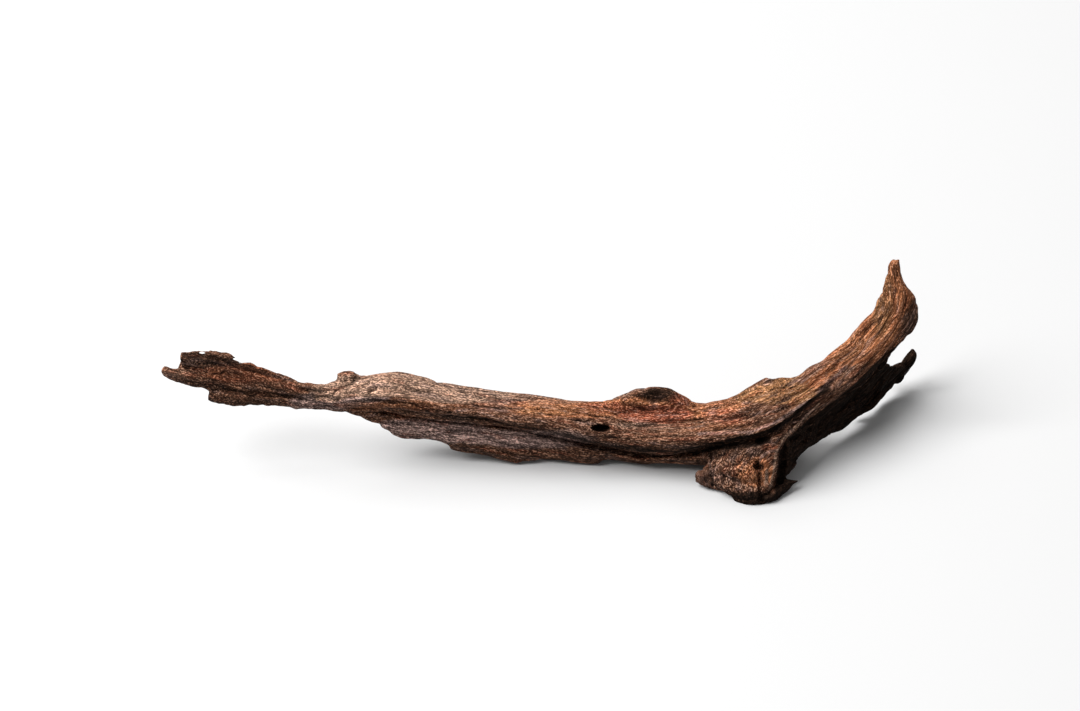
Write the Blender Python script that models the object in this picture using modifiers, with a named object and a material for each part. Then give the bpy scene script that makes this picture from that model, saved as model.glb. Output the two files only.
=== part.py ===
"""A piece of driftwood: one weathered branch with a raised horn, a broken root foot and a torn keel.

Run it with: blender --background --python part.py

The wood lies along X on three low points, with the origin under the middle of its box. Its front,
on the -Y side, is described as it is seen from a little above: a place on it is (x, seen, back),
where x is the distance along the wood, seen the height in a view from LOOK_DOWN above the horizon,
and back the distance away from the foremost point of the foot. All three are in millimetres, and
place() turns them into a point in metres.
"""

import math
from collections import namedtuple

import bmesh
import bpy
import numpy as np
from mathutils import Vector, noise

MM = 0.001
MIDDLE_X = 0.3
MIDDLE_BACK = 58.6
LOOK_DOWN = math.radians(38)
TO_VIEWER = Vector((0, -math.cos(LOOK_DOWN), math.sin(LOOK_DOWN)))
UP_IN_VIEW = Vector((0, math.sin(LOOK_DOWN), math.cos(LOOK_DOWN)))

VOXEL = 1.2 * MM
TRIANGLES = 11_400
RING_POINTS = 40
STEPS_PER_CUT = 6

FURROW_DEPTH = 1.5 * MM
FURROW_LENGTH = 46 * MM
FURROW_WIDTH = 6.5 * MM
LUMP_DEPTH = 0.9 * MM
LUMP_SIZE = 24 * MM

# One cross-section of a limb. upper and lower are its two edges as seen, front and back how far it
# swells from the line between them, crest where the front stands out furthest, from 0 at the upper
# edge to 1 at the lower, and keen how sharp that crest is, from 1, an arris, to 2, round.
Cut = namedtuple("Cut", "upper lower front back crest keen", defaults=(0.5, 2.0))

TRUNK = [
    Cut((-174, 82, 47), (-174, 61, 46), 2, 3),
    Cut((-145, 73, 48), (-145, 58, 45), 5, 6),
    Cut((-130, 72, 49), (-130, 57, 43), 7, 8, 0.6, 1.6),
    Cut((-118, 75, 50), (-118, 55, 41), 9, 10, 0.7, 1.2),
    Cut((-100, 77.5, 51), (-100, 53.5, 38), 9, 12, 0.52, 1.15),
    Cut((-85, 78, 52), (-85, 52, 35), 9, 13, 0.6, 1.1),
    Cut((-64, 73.5, 52), (-64, 50.5, 34), 9, 14, 0.66, 1.15),
    Cut((-43, 69, 51), (-43, 47.5, 34), 10, 14, 0.75, 1.2),
    Cut((-22, 66.5, 51), (-22, 45, 33), 10, 15, 0.8, 1.4),
    Cut((-1, 64.3, 50), (-1, 41.5, 32), 11, 15, 0.66, 1.7),
    Cut((20, 61.3, 50), (20, 37, 31), 12, 15, 0.66, 1.8),
    Cut((38, 60, 50), (38, 33, 30), 12, 16, 0.68, 1.8),
    Cut((59, 59.5, 50), (59, 29, 29), 13, 16, 0.7, 1.8),
    Cut((77, 59.5, 49), (77, 28, 27), 14, 17, 0.7, 1.7),
    Cut((95, 60, 48), (95, 32, 26), 14, 17, 0.74, 1.4),
    Cut((113, 63, 47), (118, 34, 24), 14, 17, 0.82, 1.2),
    Cut((130, 70.5, 48), (140, 38, 25), 15, 16, 0.8, 1.15),
    Cut((152, 75.5, 56), (158, 50, 40), 14, 14, 0.78, 1.15),
    Cut((166.6, 85.6, 66), (178, 62, 54), 12, 12, 0.76, 1.15),
    Cut((179.8, 96.2, 78), (199, 76, 74), 10, 11, 0.76, 1.15),
    Cut((187.2, 102.8, 84), (209, 88, 84), 9, 10, 0.74, 1.2),
    Cut((193.4, 110.6, 90), (218, 97.6, 91), 8, 9, 0.7, 1.2),
    Cut((198.2, 117.4, 94), (225.4, 104, 96), 8, 8, 0.66, 1.2),
    Cut((202.4, 123.8, 97), (228, 112, 100), 7, 7, 0.6, 1.3),
    Cut((206.4, 131, 101), (226.6, 122, 103), 6, 6, 0.55, 1.3),
    Cut((208.2, 139.5, 105), (220.4, 131.6, 106), 5, 5, 0.5, 1.5),
    Cut((209.6, 144.4, 107.5), (217.3, 138.6, 108), 4, 4, 0.5, 1.7),
    Cut((211.4, 146.4, 108.5), (215.6, 145.2, 108.5), 2, 2),
]

# The board-like left end, its rod-like lower edge and the flake under that.
BLADE = [
    Cut((-216, 91, 46), (-216.5, 79, 50), 1.6, 2),
    Cut((-206, 91.8, 45), (-206, 75, 50), 1.8, 2.2),
    Cut((-193, 90.5, 45), (-193, 71, 50), 2.2, 2.5),
    Cut((-183, 85.5, 46), (-183, 69, 49), 2.6, 3),
    Cut((-168, 81.8, 47), (-168, 66, 48), 3.2, 4),
    Cut((-151, 75.8, 48), (-151, 62, 47), 4, 5),
    Cut((-136, 72, 49), (-136, 60, 46), 4, 5),
]
BLADE_ROD = [
    Cut((-227.5, 80.5, 46), (-227.5, 76.5, 46), 1.8, 2),
    Cut((-219.5, 82, 46), (-219.5, 72.7, 46), 3, 3),
    Cut((-208, 80, 46), (-208, 69.8, 46), 3.6, 3.6),
    Cut((-190, 77, 46), (-190, 67.8, 46), 3.6, 4),
    Cut((-165, 71, 46), (-165, 63.5, 46), 3.4, 4),
    Cut((-140, 66, 46), (-140, 58.5, 46), 3, 4),
]
BLADE_FLAKE = [
    Cut((-200, 68, 44), (-199.5, 61.4, 43), 2, 3),
    Cut((-190, 68, 44), (-190, 59, 42), 3, 4),
    Cut((-181, 67, 44), (-181, 58.2, 42), 3.4, 4),
    Cut((-171, 65.5, 44), (-171, 59, 43), 3, 4),
    Cut((-155, 63.5, 45), (-155, 57.6, 44), 3, 4),
    Cut((-136, 62, 45), (-136, 56, 44), 4, 5),
    Cut((-118, 60, 45), (-118, 54.4, 44), 5, 6),
]
BLADE_RIM = [
    Cut((-215.5, 91.6, 45), (-215.5, 88, 44), 1.4, 2),
    Cut((-204, 92, 43), (-204, 88.5, 42.5), 1.6, 2.4),
    Cut((-193, 90.3, 42.5), (-193, 86.5, 42), 1.8, 2.4),
    Cut((-184, 86, 43), (-184, 82.5, 43), 1.6, 2.2),
    Cut((-172, 82.6, 45), (-172, 79.5, 45), 1.8, 2.2),
    Cut((-160, 79.5, 47), (-160, 76, 47), 1.6, 2),
]

# The torn keel that hangs under the trunk and carries it.
KEEL = [
    Cut((-116, 58, 44), (-116, 54, 43), 2, 3),
    Cut((-102, 57, 45), (-102, 47.8, 41), 3, 4, 0.6),
    Cut((-94, 56, 46), (-94, 42, 40), 3.4, 5, 0.7),
    Cut((-84, 56, 46), (-84.6, 38.4, 40), 3.6, 5, 0.7),
    Cut((-68, 55, 46), (-68, 37.2, 39), 4, 6, 0.7),
    Cut((-56.5, 54, 45), (-56.5, 34.6, 38.5), 4, 6, 0.7),
    Cut((-54, 53, 45), (-54.4, 30.8, 38.5), 4, 6, 0.75),
    Cut((-36, 50, 44), (-36, 27.4, 38), 4.5, 7, 0.8),
    Cut((-17, 47, 43), (-16, 23.4, 38), 5, 8, 0.85),
    Cut((-10, 45, 42), (-10, 25, 38), 5, 8, 0.8),
    Cut((12, 42, 41), (12, 24, 38), 5, 9, 0.8),
    Cut((33, 38, 39), (33, 22.2, 36), 5.5, 9, 0.8),
    Cut((37.5, 37, 38), (37.8, 24.8, 36), 5.5, 9, 0.8),
    Cut((60, 34, 36), (60, 22.8, 33), 6, 10, 0.7),
    Cut((84, 32, 34), (88, 21.4, 31), 7, 11, 0.7),
    Cut((100, 34, 32), (103, 21.6, 28), 9, 12, 0.6),
    Cut((122, 36, 30), (122, 22, 26), 10, 12, 0.5),
]

# The broken root that stands on the floor in front, its toe on the left and the splinter on the right.
FOOT = [
    Cut((106, 40, 34), (141, 44, 30), 12, 14),
    Cut((102, 28, 26), (141.5, 33, 20), 13, 15),
    Cut((99, 21, 18), (141.5, 22, 13), 12, 15, 0.6, 1.5),
    Cut((104, 11.5, 10), (142.5, 12, 8), 9, 13, 0.65, 1.4),
    Cut((112, 5, 4), (141, 5, 3), 6, 10, 0.6),
    Cut((117, 0.6, 1), (137, 0.4, 1), 4, 7),
    Cut((120, -1.6, 0), (134, -1.6, 0), 3, 5),
]
TOE = [
    Cut((122, 24, 20), (122, 5, 10), 8, 9),
    Cut((106, 23.4, 19), (106.5, 6.6, 12), 6.5, 8),
    Cut((97, 21.4, 18), (97.5, 9.4, 14), 4.6, 6),
    Cut((92.4, 17.4, 17), (92.6, 11.6, 16), 2.4, 3),
]
SPLINTER = [
    Cut((130, 11, 8), (130, -0.6, 1), 5, 5),
    Cut((138, 12, 9), (139, 0.6, 3), 4, 5),
    Cut((145, 13.6, 11), (146, 4.8, 7), 2.8, 3.2),
    Cut((150, 14.4, 13), (151, 9, 11), 2, 2.2),
    Cut((155, 14.2, 15), (155, 12.2, 14.5), 1, 1.2),
]

# The plate under the horn, which runs from the foot back to the low prong at the far right.
BUTTRESS = [
    Cut((134, 18, 12), (145, 13, 12), 5, 8),
    Cut((136, 27, 14), (152.6, 20.8, 21), 6, 9, 0.3),
    Cut((138, 38, 18), (155, 26.8, 28), 6, 9, 0.3),
    Cut((143, 46, 26), (162, 33.2, 38), 6, 8, 0.3),
    Cut((149, 50, 33), (168.8, 36.8, 46), 6, 8, 0.3),
    Cut((157, 54, 41), (176, 40.2, 56), 6, 8, 0.3),
    Cut((166, 60, 50), (184, 44.4, 66), 5.5, 7, 0.35),
    Cut((177, 66, 60), (194.4, 52.4, 80), 5, 6.5, 0.35),
    Cut((184, 72, 68), (198.2, 57.4, 88), 5, 6, 0.4),
    Cut((194, 80, 77), (205.4, 64, 98), 4.4, 5.5, 0.4),
    Cut((205, 84.6, 87), (214.6, 70, 106), 3.8, 5),
    Cut((213.4, 83, 99), (221.8, 75.4, 112), 3.2, 4),
    Cut((217, 85.6, 108), (226.4, 81.2, 116), 2.8, 3.4),
    Cut((219.4, 89.4, 113), (227.8, 87, 118), 2.4, 2.6),
    Cut((222.4, 93.6, 117), (226.8, 92.6, 119), 1.6, 1.8),
]

# The healed knob on top of the trunk, and the small stubs along its upper edge.
KNOB = [
    Cut((24, 60, 50), (28, 48, 44), 4, 9),
    Cut((38, 61.6, 50), (40, 48, 44), 6, 11),
    Cut((48, 65.8, 51), (49, 47, 44), 8, 12, 0.35),
    Cut((58.5, 69.6, 52), (59, 46, 44), 9.5, 12, 0.3),
    Cut((69, 70.4, 52), (69, 46, 44), 10, 12, 0.3),
    Cut((77.5, 69.2, 52), (77, 46, 44), 10, 12, 0.3),
    Cut((86, 64.4, 51), (85, 46, 44), 9, 12, 0.35),
    Cut((95, 60.6, 50), (94, 46, 43), 7, 11),
    Cut((108, 59.4, 49), (106, 46, 42), 4, 9),
]
COLLAR = [
    Cut((-122.5, 77.5, 51), (-122, 70, 48), 3, 4),
    Cut((-118.5, 79.2, 51), (-118.5, 70, 48), 4, 5),
    Cut((-113.5, 78.8, 51), (-113.5, 70, 48), 3.6, 5),
    Cut((-109, 76.8, 51), (-109, 70, 48), 2.4, 4),
]
THORN = [
    Cut((122, 67, 50), (126, 60, 44), 3, 4),
    Cut((135.5, 75.2, 52), (137, 66, 46), 2.4, 4),
    Cut((138.5, 75, 53), (141, 66, 47), 2, 4),
    Cut((152, 76.4, 57), (155, 66, 52), 3, 4),
    Cut((162, 81.5, 62), (164, 72, 57), 3, 4),
]

# Ribs on the far side, which the front view hides.
BACK_RIB = [
    Cut((-100, 66, 50), (-98, 58, 50), 4, 4),
    Cut((-78, 64, 53), (-76, 53, 56), 6, 4),
    Cut((-44, 61, 54), (-42, 48, 60), 8, 5),
    Cut((-4, 57, 54), (-2, 43.4, 61), 9, 5),
    Cut((34, 54, 54), (36, 40.6, 61), 10, 5),
    Cut((66, 53, 54), (68, 36, 60), 11, 6),
    Cut((94, 54, 53), (98, 35.4, 60), 11, 6),
    Cut((118, 58, 54), (124, 39.6, 60), 10, 6),
    Cut((140, 64, 57), (148, 48, 60), 8, 5),
    Cut((158, 70, 62), (166, 60, 62), 4, 4),
]
BACK_STUB = [
    Cut((56, 60, 52), (80, 42, 48), 8, 9),
    Cut((62, 60, 58), (82, 46, 55), 7, 8),
    Cut((67, 60, 63), (84, 49, 61), 6, 7),
]

LIMBS = [
    TRUNK, BLADE, BLADE_ROD, BLADE_FLAKE, BLADE_RIM, KEEL, FOOT, TOE, SPLINTER, BUTTRESS,
    KNOB, COLLAR, THORN, BACK_RIB, BACK_STUB,
]

# Worn hollows, pushed in away from the viewer: middle, half width, half height, depth.
HOLLOWS = [
    ((67.5, 64, 50), 12, 5, 4),
    ((-118, 77, 50), 3.2, 2.4, 2),
    ((131, 22, 14), 3.4, 3, 3),
]

# Long cracks and torn seams, as (x, seen) along the seam, its half width and its depth.
SEAMS = [
    (
        [
            (-115, 57), (-85, 54.6), (-68, 51), (-36.6, 48.4), (-12.6, 45), (11.4, 39.6),
            (35.4, 33), (59.4, 28), (89.4, 29), (107.4, 35), (131.4, 38),
        ],
        2.6,
        3.5,
    ),
    ([(131.4, 38), (146.4, 46.8), (155.4, 53.4), (164.4, 59.4), (173.4, 65.4)], 3, 3.5),
    ([(-197, 67.4), (-170, 66.2), (-150, 63.6), (-122, 61.4)], 1.8, 2),
    ([(129.6, 24.6), (130.8, 13.8), (132.6, 2.4)], 2.2, 3.6),
    ([(145, 34), (144.6, 22.8), (143.4, 14), (136, 6.6)], 3, 5),
    ([(160, 47), (176, 53.6), (190, 63), (204, 74)], 2.6, 1.6),
]
BORE_HOLE = ((36, 44.6, 30), 6, 2.7, 12)
RIM_SLIT = ((-202.6, 90, 44), 2.2, 0.8, 9)

WOOD_COLOUR = (0.17, 0.075, 0.035, 1)


def place(x, seen, back):
    """The point, in metres, of a place given in millimetres."""
    up = (seen - back * math.sin(LOOK_DOWN)) / math.cos(LOOK_DOWN)
    return Vector((x - MIDDLE_X, back - MIDDLE_BACK, up)) * MM


def flat(cut):
    """A cut as a row of numbers, so that cuts can be blended."""
    edges = [*place(*cut.upper), *place(*cut.lower)]
    return np.array([*edges, cut.front * MM, cut.back * MM, cut.crest, cut.keen])


def through(rows, steps):
    """Rows blended smoothly through the given ones, with that many steps between two."""
    rows = np.array(rows)
    first = 2 * rows[0] - rows[1]
    last = 2 * rows[-1] - rows[-2]
    p = np.vstack([first, rows, last])
    made = []
    for i in range(1, len(p) - 2):
        for t in np.arange(steps) / steps:
            pull = p[i + 1] - p[i - 1]
            next_pull = p[i + 2] - p[i]
            rise = p[i + 1] - p[i]
            made.append(
                p[i]
                + t * 0.5 * pull
                + t**2 * (3 * rise - pull - 0.5 * next_pull)
                + t**3 * (0.5 * (pull + next_pull) - 2 * rise)
            )
    made.append(rows[-1])
    return np.array(made)


def swell(share, crest, keen):
    """How far a face stands out at that share of the way between its edges, from 0 to 1."""
    side = crest if share < crest else 1 - crest
    return math.sqrt(max(0.0, 1 - (abs(share - crest) / side) ** keen))


def ring(row):
    """The points round one cut. It swells straight towards and away from the viewer."""
    upper, lower = Vector(row[:3]), Vector(row[3:6])
    front, back, crest, keen = row[6:]
    points = []
    for i in range(RING_POINTS):
        angle = 2 * math.pi * i / RING_POINTS
        share = (1 - math.cos(angle)) / 2
        if angle < math.pi:
            height = front * swell(share, crest, keen)
        else:
            height = -back * swell(share, 0.5, 2)
        points.append(upper.lerp(lower, share) + TO_VIEWER * height)
    return points


def add_limb(mesh, cuts):
    """Lofts one closed limb through its cuts into the bmesh."""
    rows = through([flat(cut) for cut in cuts], STEPS_PER_CUT)
    loops = [[mesh.verts.new(point) for point in ring(row)] for row in rows]
    faces = [mesh.faces.new(loops[0]), mesh.faces.new(reversed(loops[-1]))]
    for one, other in zip(loops, loops[1:]):
        for i in range(RING_POINTS):
            j = (i + 1) % RING_POINTS
            faces.append(mesh.faces.new((one[j], one[i], other[i], other[j])))
    bmesh.ops.recalc_face_normals(mesh, faces=faces)


def add_object(name, mesh, collection):
    made = bpy.data.objects.new(name, mesh)
    collection.objects.link(made)
    return made


def taken_as_seen(obj):
    """A new mesh of the object with its modifiers applied."""
    bpy.context.view_layer.update()
    graph = bpy.context.evaluated_depsgraph_get()
    return bpy.data.meshes.new_from_object(obj.evaluated_get(graph))


def fuse(obj):
    """Makes the overlapping limbs one skin, softened where they meet."""
    remesh = obj.modifiers.new("one skin", "REMESH")
    remesh.mode = "VOXEL"
    remesh.voxel_size = VOXEL
    soften = obj.modifiers.new("soften", "SMOOTH")
    soften.factor = 0.5
    soften.iterations = 3
    mesh = taken_as_seen(obj)
    obj.modifiers.clear()
    obj.data = mesh


def grain_places(points, cuts):
    """Where each point lies in the grain: metres along the limb, and its two offsets from the heart."""
    rows = through([flat(cut) for cut in cuts], STEPS_PER_CUT)
    heart = (rows[:, :3] + rows[:, 3:6]) / 2
    steps = np.linalg.norm(np.diff(heart, axis=0), axis=1)
    run = np.concatenate([[0], np.cumsum(steps)])
    along = np.gradient(heart, axis=0)
    along /= np.linalg.norm(along, axis=1, keepdims=True)
    side = np.cross(along, np.array(TO_VIEWER))
    side /= np.linalg.norm(side, axis=1, keepdims=True)
    nearest = np.linalg.norm(points[:, None] - heart[None], axis=2).argmin(axis=1)
    offset = points - heart[nearest]
    past = (offset * along[nearest]).sum(axis=1)
    across = (offset * side[nearest]).sum(axis=1)
    depth = (offset * np.cross(side, along)[nearest]).sum(axis=1)
    return np.stack([run[nearest] + past, across, depth], axis=1)


def weather(points, normals):
    """The points with long furrows and soft lumps worn into the skin."""
    places = grain_places(points, TRUNK)
    stretch = np.array([1 / FURROW_LENGTH, 1 / FURROW_WIDTH, 1 / FURROW_WIDTH])
    furrow = np.array([1 - 2 * abs(noise.noise(at)) for at in places * stretch])
    lump = np.array([noise.noise(at) for at in points / LUMP_SIZE])
    height = LUMP_DEPTH * lump - FURROW_DEPTH * furrow.clip(0) ** 3
    return points + normals * height[:, None]


def press(points, normals, middle, half_width, half_height, depth):
    """The points with a worn hollow pushed into the front, round the middle."""
    from_centre = points - np.array(place(*middle))
    across = from_centre[:, 0] / (half_width * MM)
    high = from_centre @ np.array(UP_IN_VIEW) / (half_height * MM)
    reach = (1 - across**2 - high**2).clip(0)
    reach[normals @ np.array(TO_VIEWER) < 0.2] = 0
    return points - np.outer(reach, TO_VIEWER) * depth * MM


def from_path(across, high, path):
    """How far each place in the view is from the nearest stretch of the path."""
    nearest = np.full(len(across), np.inf)
    for (x, y), (next_x, next_y) in zip(path, path[1:]):
        run, rise = next_x - x, next_y - y
        share = ((across - x) * run + (high - y) * rise) / (run**2 + rise**2)
        share = share.clip(0, 1)
        here = np.hypot(across - x - share * run, high - y - share * rise)
        nearest = np.minimum(nearest, here)
    return nearest


def carve(points, normals, path, half_width, depth):
    """The points with a seam cut into the front along the path."""
    from_corner = points - np.array(place(0, 0, 0))
    across = from_corner[:, 0] / MM
    high = from_corner @ np.array(UP_IN_VIEW) / MM
    reach = (1 - (from_path(across, high, path) / half_width) ** 2).clip(0)
    reach[normals @ np.array(TO_VIEWER) < 0.1] = 0
    return points - np.outer(reach, TO_VIEWER) * depth * MM


def wear(mesh):
    """Weathers the whole skin, then presses the hollows and cuts the seams into it."""
    count = len(mesh.vertices)
    points = np.empty(count * 3)
    normals = np.empty(count * 3)
    mesh.vertices.foreach_get("co", points)
    mesh.vertices.foreach_get("normal", normals)
    points = points.reshape(-1, 3)
    normals = normals.reshape(-1, 3)
    points = weather(points, normals)
    for hollow in HOLLOWS:
        points = press(points, normals, *hollow)
    for seam in SEAMS:
        points = carve(points, normals, *seam)
    mesh.vertices.foreach_set("co", points.ravel())
    mesh.update()


def add_bore(name, hole, collection):
    """A cutter with an oval outline that runs away from the viewer."""
    middle, half_width, half_height, length = hole
    mesh = bpy.data.meshes.new(name)
    cutter = bmesh.new()
    bmesh.ops.create_uvsphere(cutter, u_segments=16, v_segments=10, radius=1)
    cutter.to_mesh(mesh)
    cutter.free()
    bore = add_object(name, mesh, collection)
    bore.location = place(*middle)
    bore.rotation_euler.x = math.pi / 2 - LOOK_DOWN
    bore.scale = (half_width * MM, half_height * MM, length * MM)
    return bore


def cut_away(obj, cutter, name):
    cutter.hide_render = True
    cutter.display_type = "WIRE"
    cut = obj.modifiers.new(name, "BOOLEAN")
    cut.operation = "DIFFERENCE"
    cut.solver = "EXACT"
    cut.object = cutter


def add_floor_block(collection):
    """Everything below the surface that the wood lies on, so that its low points are worn flat."""
    mesh = bpy.data.meshes.new("floor_block")
    block = bmesh.new()
    bmesh.ops.create_cube(block, size=1)
    block.to_mesh(mesh)
    block.free()
    floor = add_object("floor_block", mesh, collection)
    floor.scale = (0.6, 0.3, 0.05)
    floor.location.z = -floor.scale.z / 2
    return floor


def wood_material():
    material = bpy.data.materials.new("driftwood")
    material.use_nodes = True
    surface = material.node_tree.nodes["Principled BSDF"]
    surface.inputs["Base Color"].default_value = WOOD_COLOUR
    surface.inputs["Roughness"].default_value = 0.75
    surface.inputs["Metallic"].default_value = 0.0
    return material


def main():
    for old in list(bpy.data.objects):
        bpy.data.objects.remove(old)
    scene = bpy.context.scene.collection
    parts = bpy.data.collections.new("driftwood")
    cutters = bpy.data.collections.new("cutters")
    scene.children.link(parts)
    scene.children.link(cutters)

    limbs = bmesh.new()
    for cuts in LIMBS:
        add_limb(limbs, cuts)
    mesh = bpy.data.meshes.new("driftwood")
    limbs.to_mesh(mesh)
    limbs.free()
    wood = add_object("driftwood", mesh, parts)

    fuse(wood)
    wear(wood.data)
    thin = wood.modifiers.new("fewer faces", "DECIMATE")
    thin.ratio = TRIANGLES / (2 * len(wood.data.polygons))
    cut_away(wood, add_bore("bore_hole", BORE_HOLE, cutters), "bore hole")
    cut_away(wood, add_bore("rim_slit", RIM_SLIT, cutters), "rim slit")
    cut_away(wood, add_floor_block(cutters), "worn flat below")

    wood.data.materials.clear()
    wood.data.materials.append(wood_material())
    wood.data.shade_smooth()


if __name__ == "__main__":
    main()
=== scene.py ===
# %% [markdown]
# # A piece of driftwood
#
# Driftwood is wood with everything soft taken away. Water, sand and sun wear out the pale early
# wood between the rings, so the hard fibres stand up as long ridges, the surface splits along the
# grain and broken ends fray. Almost everything that makes it look real runs along the grain.
#
# The shape comes from the packed model, which has the limbs, the foot, the knob and the big seams.
# This lesson gives that shape its weathered skin: relief in the mesh first, then the finish.

# %% Load the packed model
import math
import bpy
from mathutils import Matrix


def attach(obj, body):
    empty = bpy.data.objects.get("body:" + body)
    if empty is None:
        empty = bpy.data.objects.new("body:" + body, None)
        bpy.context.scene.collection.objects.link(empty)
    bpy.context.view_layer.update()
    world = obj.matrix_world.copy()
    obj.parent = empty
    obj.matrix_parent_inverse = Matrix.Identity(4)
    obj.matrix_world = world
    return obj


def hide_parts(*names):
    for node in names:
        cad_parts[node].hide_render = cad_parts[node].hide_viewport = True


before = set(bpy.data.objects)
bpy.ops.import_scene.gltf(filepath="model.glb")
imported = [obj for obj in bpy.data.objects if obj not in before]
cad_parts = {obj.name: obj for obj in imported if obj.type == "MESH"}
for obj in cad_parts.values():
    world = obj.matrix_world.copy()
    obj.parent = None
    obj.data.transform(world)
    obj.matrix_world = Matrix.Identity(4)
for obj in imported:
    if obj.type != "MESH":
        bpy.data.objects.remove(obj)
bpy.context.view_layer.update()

from types import SimpleNamespace

import bmesh
import bpy
import numpy as np
from mathutils import Matrix, Vector
from mathutils.bvhtree import BVHTree

# %% [markdown]
# ## Where things are
#
# The wood was drawn as it is seen from a little above its front, so that is also the easiest way to
# say where a knot or a stain is: how far along it lies, how high it is seen, and how far back. The
# three are in millimetres, and one function turns them into a point in the model's frame. Using the
# same description for shape, relief, colour and camera keeps all of them in register.

# %% A place on the wood
MM = 0.001
LOOK_DOWN = math.radians(38)
MIDDLE_X = 0.3
MIDDLE_BACK = 58.6
TO_VIEWER = np.array([0, -math.cos(LOOK_DOWN), math.sin(LOOK_DOWN)])
UP_IN_VIEW = np.array([0, math.sin(LOOK_DOWN), math.cos(LOOK_DOWN)])


def place(x, seen, back):
    """A point in metres from millimetres along, seen height and distance back."""
    up = (seen - back * math.sin(LOOK_DOWN)) / math.cos(LOOK_DOWN)
    return np.array([x - MIDDLE_X, back - MIDDLE_BACK, up]) * MM


print("the horn's tip is near", place(213, 145, 108).round(3))

# %% [markdown]
# ## A skin fine enough to carve
#
# The packed model has about twelve thousand facets, some of them several millimetres long. Fibres
# are far finer, so the model is first rebuilt as an even grid of small faces with a voxel Remesh,
# and then relaxed until the old facets are gone. A Subdivision Surface would also add faces, but it
# would follow the long thin facets and leave the grid uneven.
#
# Before that, a few small lumps are added where the torn sheet would be too thin to carve, or where
# an edge should stand further out. They only overlap the wood, and the Remesh makes them one with it.

# %% Copy the model and mend it
# Each mend is a place, its half sizes along, towards the viewer and up, and its lean in degrees.
MENDS = [
    ((-195, 82.5, 47.6), (7, 1.2, 5), 0),
    ((222, 85, 113.5), (3.6, 3.2, 8), 30),
    ((216.5, 79.5, 109), (4.2, 3, 6), 50),
    ((213, 76, 108), (4.5, 3, 4), 40),
    ((197.5, 60, 84), (2.4, 3, 13), 45),
    ((-191, 88.6, 46.5), (9, 1.1, 1.6), 13),
    ((-136, 70, 46), (14, 3.5, 2.4), 8),
    ((206, 87, 83), (3.5, 3.5, 8), 22),
    ((217, 75.5, 108.5), (3.4, 2.2, 4.2), 45),
    ((-190, 85, 46), (7, 1.2, 2.4), 12),
    ((0.5, 42.2, 42.5), (7, 1.8, 1.7), 5),
    ((213.6, 144, 107), (1.2, 1.4, 2.4), 35),
]


def add_lump(mesh, spot, half_sizes, lean):
    """A rounded lump added to the mesh, which the remesh then makes one with the wood."""
    shape = bmesh.new()
    shape.from_mesh(mesh)
    size = Matrix.Diagonal((*[half * MM for half in half_sizes], 1))
    to_viewer = Matrix.Rotation(-LOOK_DOWN, 4, "X")
    turn = to_viewer @ Matrix.Rotation(math.radians(lean), 4, "Y")
    matrix = Matrix.Translation(place(*spot)) @ turn @ size
    bmesh.ops.create_icosphere(shape, subdivisions=3, radius=1, matrix=matrix)
    shape.to_mesh(mesh)
    shape.free()


wood = bpy.data.objects.new("driftwood_skin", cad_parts["driftwood"].data.copy())
bpy.context.scene.collection.objects.link(wood)
for mend in MENDS:
    add_lump(wood.data, *mend)
print("lumps added:", len(MENDS))

# %% Remesh and relax
WELD_DISTANCE = 0.01 * MM
VOXEL = 0.5 * MM
RELAX_STEPS = 3


def add_modifier(obj, kind, **settings):
    modifier = obj.modifiers.new(kind.lower(), kind)
    for name, value in settings.items():
        setattr(modifier, name, value)


def apply_modifiers(obj):
    """Give the object a new mesh, as it looks with its modifiers, and remove them."""
    bpy.context.view_layer.update()
    graph = bpy.context.evaluated_depsgraph_get()
    mesh = bpy.data.meshes.new_from_object(obj.evaluated_get(graph))
    obj.modifiers.clear()
    obj.data = mesh


add_modifier(wood, "WELD", merge_threshold=WELD_DISTANCE)
add_modifier(wood, "REMESH", mode="VOXEL", voxel_size=VOXEL)
add_modifier(wood, "SMOOTH", factor=0.5, iterations=RELAX_STEPS)
apply_modifiers(wood)
print("skin has", len(wood.data.vertices), "points")

# %% [markdown]
# ## Noise that numpy can work out
#
# Relief on several hundred thousand points is quickest as sums over whole arrays. Gradient noise is
# the usual building block: each corner of a lattice gets a direction by scrambling its whole-number
# address, and the value in between is blended from the eight corners round it.

# %% Gradient noise on arrays
SCRAMBLE = np.array([374761393, 668265263, 2147483629], dtype=np.uint64)
STIR = np.uint64(2246822519)
LOW_32_BITS = np.uint64(0xFFFFFFFF)
FAR_CORNER = 1_000_000
TO_FULL_RANGE = 1.3


def corner_directions(address, seed):
    """A pseudo-random direction for each lattice corner, the same in every run."""
    number = (address.astype(np.uint64) * SCRAMBLE).sum(axis=1) + np.uint64(seed * 974711)
    number &= LOW_32_BITS
    parts = []
    for _ in range(3):
        number ^= number >> np.uint64(15)
        number = (number * STIR) & LOW_32_BITS
        number ^= number >> np.uint64(13)
        parts.append(number.astype(float) / 2**31 - 1)
    return np.stack(parts, axis=1)


def noise_at(points, seed=0):
    """Smooth noise at each point, mostly between -1 and 1, with features about one unit across."""
    cell = np.floor(points)
    inside = points - cell
    ease = inside**3 * (inside * (inside * 6 - 15) + 10)
    address = cell.astype(np.int64) + FAR_CORNER
    total = np.zeros(len(points))
    for corner in np.ndindex(2, 2, 2):
        step = np.array(corner)
        pull = (corner_directions(address + step, seed) * (inside - step)).sum(axis=1)
        share = np.where(step, ease, 1 - ease).prod(axis=1)
        total += share * pull
    return total * TO_FULL_RANGE


def ramp(value, start, end):
    """0 below start, 1 above end and a smooth step in between, as an array."""
    share = ((value - start) / (end - start)).clip(0, 1)
    return share * share * (3 - 2 * share)


probe = noise_at(np.random.default_rng(3).uniform(0, 50, (20000, 3)))
print("noise runs from", probe.min().round(2), "to", probe.max().round(2))

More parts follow.
